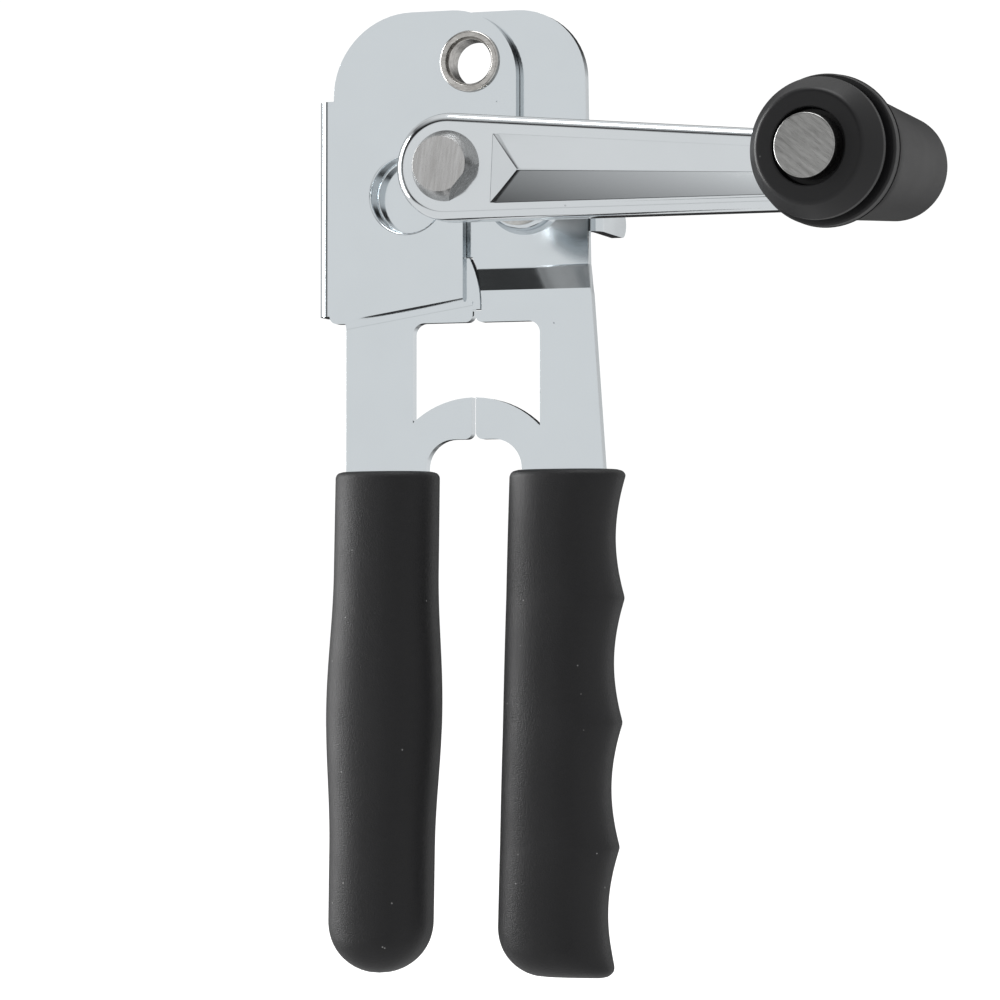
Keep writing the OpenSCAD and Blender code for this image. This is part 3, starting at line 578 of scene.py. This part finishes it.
def arm_space(u, v, w):
    """Points u along the arm, v above its middle line and w behind its face."""
    shape = np.broadcast(u, v, w).shape
    u, v, w = (np.broadcast_to(a, shape)[..., None] for a in (u, v, w))
    base = np.array([crank_axis[0], FRONT_Y, crank_axis[2]])
    return base + u * arm_u + v * arm_v + w * np.array([0, 1.0, 0])


def arm_outline(lines=60, arcs=48):
    """Samples round the hull of two circles: centre, radius and normal angle of
    each. They run over the end arc, the top line, the hub arc, the bottom line.
    The last column is the place along its own stretch, from 0 to 1."""
    tangent = math.acos((HUB_R - END_R) / ARM_LENGTH)
    stretches = []
    for count, c0, c1, r0, r1, a0, a1 in (
            (arcs, ARM_LENGTH, ARM_LENGTH, END_R, END_R, -tangent, tangent),
            (lines, ARM_LENGTH, 0, END_R, HUB_R, tangent, tangent),
            (arcs, 0, 0, HUB_R, HUB_R, tangent, 2 * math.pi - tangent),
            (lines, 0, ARM_LENGTH, HUB_R, END_R, -tangent, -tangent)):
        t = np.linspace(0, 1, count, endpoint=False)
        stretches.append(np.stack([
            c0 + (c1 - c0) * t, r0 + (r1 - r0) * t, a0 + (a1 - a0) * t, t], 1))
    return stretches


def ring_at(stretches, inset, w):
    """Outline moved inwards by inset, at depth w behind the face."""
    s = np.vstack(stretches)
    r = s[:, 1] - inset
    return arm_space(s[:, 0] + r * np.cos(s[:, 2]), r * np.sin(s[:, 2]), w)


def trough_ring(stretches, spread, blend, w):
    """Ring from the trough's rim (blend 0) to its valley line (blend 1). Each
    stretch of the outline belongs to one side of the rim; spread moves it out."""
    g = TROUGH
    u0, u1 = g["u0"] - spread, g["u1"] + spread
    w0, w1 = g["w0"] + spread, g["w1"] + spread
    corners = np.array([[u1, -w1], [u1, w1], [u0, w0], [u0, -w0], [u1, -w1]])
    apex = np.array([[g["u1"] - g["hip"], 0], [g["u1"] - g["hip"], 0],
                     [g["u0"] + g["hip"], 0], [g["u0"] + g["hip"], 0],
                     [g["u1"] - g["hip"], 0]])
    out = []
    for k, stretch in enumerate(stretches):
        t = stretch[:, 3:]
        rim = corners[k] * (1 - t) + corners[k + 1] * t
        valley = apex[k] * (1 - t) + apex[k + 1] * t
        out.append(rim * (1 - blend) + valley * blend)
    flat = np.vstack(out)
    return arm_space(flat[:, 0], flat[:, 1] - g["low"], w)


edge = np.linspace(0, math.pi / 2, 7)
outline = arm_outline()
rings = [
    trough_ring(outline, 0, 1.0, TROUGH["deep"]),
    trough_ring(outline, 0, 0.985, TROUGH["deep"] * 0.992),
    trough_ring(outline, 0, 0.955, TROUGH["deep"] * 0.957),
    trough_ring(outline, 0, 0.06, TROUGH["deep"] * 0.062),
    trough_ring(outline, 0, 0.02, TROUGH["deep"] * 0.028),
    trough_ring(outline, 0.03, 0.0, 0.008),
    trough_ring(outline, 0.14, 0.0, 0.0),
    trough_ring(outline, 0.5, 0.0, 0.0),
    ring_at(outline, ARM_EDGE + 0.35, 0),
]
rings += [ring_at(outline, ARM_EDGE * (1 - math.sin(a)), ARM_EDGE * (1 - math.cos(a)))
          for a in edge]
rings += [ring_at(outline, ARM_EDGE * (1 - math.cos(a)),
                  ARM_T - ARM_EDGE * (1 - math.sin(a))) for a in edge]
back = np.vstack(outline)
rings += [ring_at(outline, ARM_EDGE + 0.35, ARM_T),
          arm_space(back[:, 0], 0 * back[:, 0], ARM_T)]
arm_points = np.vstack(rings)
arm_faces = grid_faces(len(rings), len(back), close_rows=False)


def joined(*parts):
    """Several sets of points and faces as one."""
    points, faces, base = [], [], 0
    for p, f in parts:
        points.append(p)
        faces.extend((np.asarray(f) + base).tolist())
        base += len(p)
    return np.vstack(points), faces


BOSS_BORE, BOSS_R, BOSS_H, BOSS_ROOT = 5.6, 8.4, 3, 1
boss_profile = rounded([
    (BOSS_BORE, ARM_T - BOSS_ROOT, 0), (BOSS_R, ARM_T - BOSS_ROOT, 0),
    (BOSS_R, ARM_T + BOSS_H, 0.5), (BOSS_BORE, ARM_T + BOSS_H, 0.3),
])
boss = turned(boss_profile, (crank_axis[0], FRONT_Y, crank_axis[2]), (0, 1, 0), 96)
SEAT_BORE, SEAT_R, SEAT_H, SEAT_ROOT = 3.3, 7.0, 1.0, 1.5
seat_profile = rounded([
    (SEAT_BORE, -SEAT_ROOT, 0), (SEAT_R, -SEAT_ROOT, 0),
    (SEAT_R, SEAT_H, 0.25), (SEAT_BORE, SEAT_H, 0),
])
seat = turned(seat_profile, knob_seat, knob_way, 96)
chromed_casting = chrome("chromed_casting", 1.3, 1.6, (0.62, 0.65, 0.67), 0.04, 0.6)
piece_from("crank_arm_casting", *joined((arm_points, arm_faces), boss, seat),
           chromed_casting, "crank", "chromed_casting", ["crank_arm"], angle=40)


# ---- Knob ----------------------------------------------------------------
# A hollow knob of black nylon with a flared end and a pressed-in cap turns on
# a steel rivet. The rivet's broad head sits in the cap's well and is brushed.

# Moulded grain: fine even pebbling, slow patches of shine and pale dust specks.
moulding, m_in, m_out = shade_group(
    "moulding",
    [("Grain", "NodeSocketFloat", 5200.0), ("Dust", "NodeSocketFloat", 1.0)],
    [("Height", "NodeSocketFloat"), ("Haze", "NodeSocketFloat"),
     ("Dust", "NodeSocketFloat")])
m_spot = wire(moulding, "ShaderNodeTexCoord", -1200, 0)
pebble = noise(moulding, 1.0, 2.0, 0.55, -700, 200)
moulding.links.new(m_in.outputs["Grain"], pebble.inputs["Scale"])
patches = noise(moulding, 60.0, 3.0, 0.55, -700, -40)
crumbs = wire(moulding, "ShaderNodeTexVoronoi", -700, -300)
crumbs.inputs["Scale"].default_value = 520.0
for node in (pebble, patches, crumbs):
    moulding.links.new(m_spot.outputs["Object"], node.inputs["Vector"])
near = arithmetic(moulding, "LESS_THAN", crumbs.outputs["Distance"], 0.09, -480, -300)
lots = wire(moulding, "ShaderNodeSeparateColor", -480, -460)
moulding.links.new(crumbs.outputs["Color"], lots.inputs[0])
few = arithmetic(moulding, "GREATER_THAN", lots.outputs[1], 0.9, -300, -460)
dust = arithmetic(moulding, "MULTIPLY", near, few, -120, -340)
dust = arithmetic(moulding, "MULTIPLY", dust, m_in.outputs["Dust"], 40, -340)
moulding.links.new(pebble.outputs["Fac"], m_out.inputs["Height"])
moulding.links.new(arithmetic(moulding, "MULTIPLY", patches.outputs["Fac"], 0.22, -300, -40),
                   m_out.inputs["Haze"])
moulding.links.new(dust, m_out.inputs["Dust"])


def black_plastic(name, base, dusty, rough, grain, depth, dust, shine):
    """Moulded black plastic with a fine matt grain and a little dust."""
    material, tree, shader = finish(name)
    shader.inputs["Specular IOR Level"].default_value = shine
    skin = placed(tree, moulding, -700, 0, Grain=grain, Dust=dust)
    tinted(tree, shader, skin.outputs["Dust"], base, dusty)
    haze = arithmetic(tree, "ADD", skin.outputs["Haze"], rough, -450, -60)
    tree.links.new(haze, shader.inputs["Roughness"])
    bumped(tree, shader, skin.outputs["Height"], depth)
    return material


knob_nylon = black_plastic("knob_nylon", (0.004, 0.004, 0.0046), (0.08, 0.08, 0.08),
                           0.28, 6500.0, 0.000012, 0.6, 0.28)
KNOB_BORE, BACK_R, NECK_R, FLANGE_R, GROOVE_R = 3.3, 10.08, 12.35, 14.05, 10.8
BACK_S, NECK_S, FLANGE_S, FLANGE_END_S, BODY_END_S = 1.9, 35.5, 39.4, 41.9, 44.1
body_profile = rounded([
    (KNOB_BORE, BACK_S, 0), (BACK_R, BACK_S, 1.6), (NECK_R, NECK_S, 26.0),
    (FLANGE_R, FLANGE_S, 0.7), (FLANGE_R, FLANGE_END_S, 0.5),
    (GROOVE_R, FLANGE_END_S, 0.3), (GROOVE_R, BODY_END_S, 0), (KNOB_BORE, BODY_END_S, 0),
], 10)
piece_from("knob_grip_body", *turned(body_profile, knob_seat, knob_way, 160),
           knob_nylon, "knob", "knob", ["knob_body"], angle=40)
CAP_R, FACE_R, WELL_R, PLUG_R = 13.1, 10.5, 7.1, 6.1
PLUG_S, RIM_S, WELL_S, FACE_S = 39.5, 45.6, 47.5, 49.9
cap_profile = rounded([
    (KNOB_BORE, PLUG_S, 0), (PLUG_R, PLUG_S, 0), (PLUG_R, BODY_END_S, 0),
    (CAP_R, BODY_END_S, 0.5), (CAP_R, RIM_S, 0.9), (FACE_R, FACE_S, 1.3),
    (WELL_R, FACE_S, 0.35), (WELL_R, WELL_S, 0.3), (KNOB_BORE, WELL_S, 0),
], 8)
piece_from("knob_end_cap", *turned(cap_profile, knob_seat, knob_way, 160),
           knob_nylon, "knob", "knob", ["knob_cap"], angle=40)
rivet_steel = brushed("rivet_steel", (0, -38, 0), (0.34, 0.34, 0.335),
                      (0.20, 0.20, 0.195), 0.00003, 0.18, 5200.0, 420.0)
HEAD_S, HEAD_R, HEAD_H, AXLE_R = 47.7, 6.0, 4.18, 3.2
rivet_profile = rounded([
    (0, -10.4, 0), (4.4, -10.4, 0.5), (AXLE_R, -8.9, 0.2), (AXLE_R, HEAD_S, 0),
    (HEAD_R, HEAD_S, 0), (HEAD_R, HEAD_S + HEAD_H, 0.35), (0, HEAD_S + HEAD_H, 0),
])
piece_from("knob_rivet", *turned(rivet_profile, knob_seat, knob_way, 128),
           rivet_steel, "crank", "steel", ["knob_axle"], angle=30)


# ---- Grips ---------------------------------------------------------------
# Soft black vinyl grips moulded over the tangs: the left one is plain with a
# slight belly, the right one has four finger hollows. Both are finely grained.

grip_vinyl = black_plastic("grip_vinyl", (0.004, 0.004, 0.0048), (0.13, 0.13, 0.13),
                           0.38, 3600.0, 0.00011, 1.0, 0.3)
MIDDLE_X, BELLY = 0.43, 1.25
HOLLOW_START, HOLLOW_STEP, HOLLOW_D, RIDGE = 0.008, 0.2455, 2.25, 0.006
low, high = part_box("left_grip")
GRIP_TOP, GRIP_END = high.z / MM, low.z / MM
GRIP_LENGTH = GRIP_TOP - GRIP_END


def left_sides(t):
    """Inner and outer edge of the left grip at part t of its length."""
    belly = BELLY * np.sin(math.pi * np.clip((t - 0.2) / 0.55, 0, 1)) ** 2
    return MIDDLE_X - 30.8 - 1.7 * t - belly, MIDDLE_X - 8.5 - 1.5 * t + belly


def right_sides(t):
    """Inner and outer edge of the right grip: hollows are |sin| scallops whose
    ridges are rounded by a small constant under the root."""
    g = (t - HOLLOW_START) / HOLLOW_STEP
    wave = np.sqrt(np.sin(math.pi * g) ** 2 + RIDGE) - math.sqrt(RIDGE)
    inside = np.clip((g + 0.02) / 0.04, 0, 1) * np.clip((4.02 - g) / 0.04, 0, 1)
    hollow = HOLLOW_D * wave ** 0.85 * inside
    return MIDDLE_X + 8 - 2.8 * t, MIDDLE_X + 32.65 - 1.2 * t - 1.1 * t * t - hollow


def grip(sides, top_r, end_r, rows=260, around=112):
    """Loft of full ovals |x/a|^n + |y/b|^n = 1 down the grip. Near both ends the
    ovals are drawn in by r - sqrt(r^2 - (r - u)^2), u being the distance left.
    end_r holds r for the left side, the right side and the two faces."""
    depth = np.linspace(0, 1, rows)
    ends = 0.5 - 0.5 * np.cos(math.pi * depth)
    t = 0.55 * depth + 0.45 * ends
    x0, x1 = sides(t)
    half = 8.2 + 0.7 * np.sin(math.pi * t)

    def drawn(r, u):
        return r - np.sqrt(r * r - (r - np.minimum(u, r)) ** 2)

    insets = [np.maximum(drawn(top_r, t * GRIP_LENGTH), drawn(r, (1 - t) * GRIP_LENGTH))
              for r in end_r]
    x0 = x0 + insets[0]
    x1 = x1 - insets[1]
    half = np.maximum(half - insets[2], 0.6)
    a = np.linspace(0, 2 * math.pi, around, endpoint=False)
    power = 0.86
    cx = np.sign(np.cos(a)) * np.abs(np.cos(a)) ** power
    cy = np.sign(np.sin(a)) * np.abs(np.sin(a)) ** power
    x = ((x0 + x1) / 2)[:, None] + ((x1 - x0) / 2)[:, None] * cx
    y = half[:, None] * cy
    z = np.broadcast_to((GRIP_TOP - t * GRIP_LENGTH)[:, None], x.shape)
    body = np.stack([x, y, z], -1)
    caps = [np.repeat(row.mean(0)[None], around, 0) for row in (body[0], body[-1])]
    points = np.concatenate([caps[0][None], body, caps[1][None]])
    return points.reshape(-1, 3), grid_faces(rows + 2, around, close_rows=False)


piece_from("left_grip_sleeve", *grip(left_sides, 1.4, (11.1, 11.1, 7.5)),
           grip_vinyl, "left_handle", "grip", ["left_grip"], angle=60)
piece_from("right_grip_sleeve", *grip(right_sides, 1.6, (10.5, 2.6, 6.5)),
           grip_vinyl, "right_handle", "grip", ["right_grip"], angle=60)
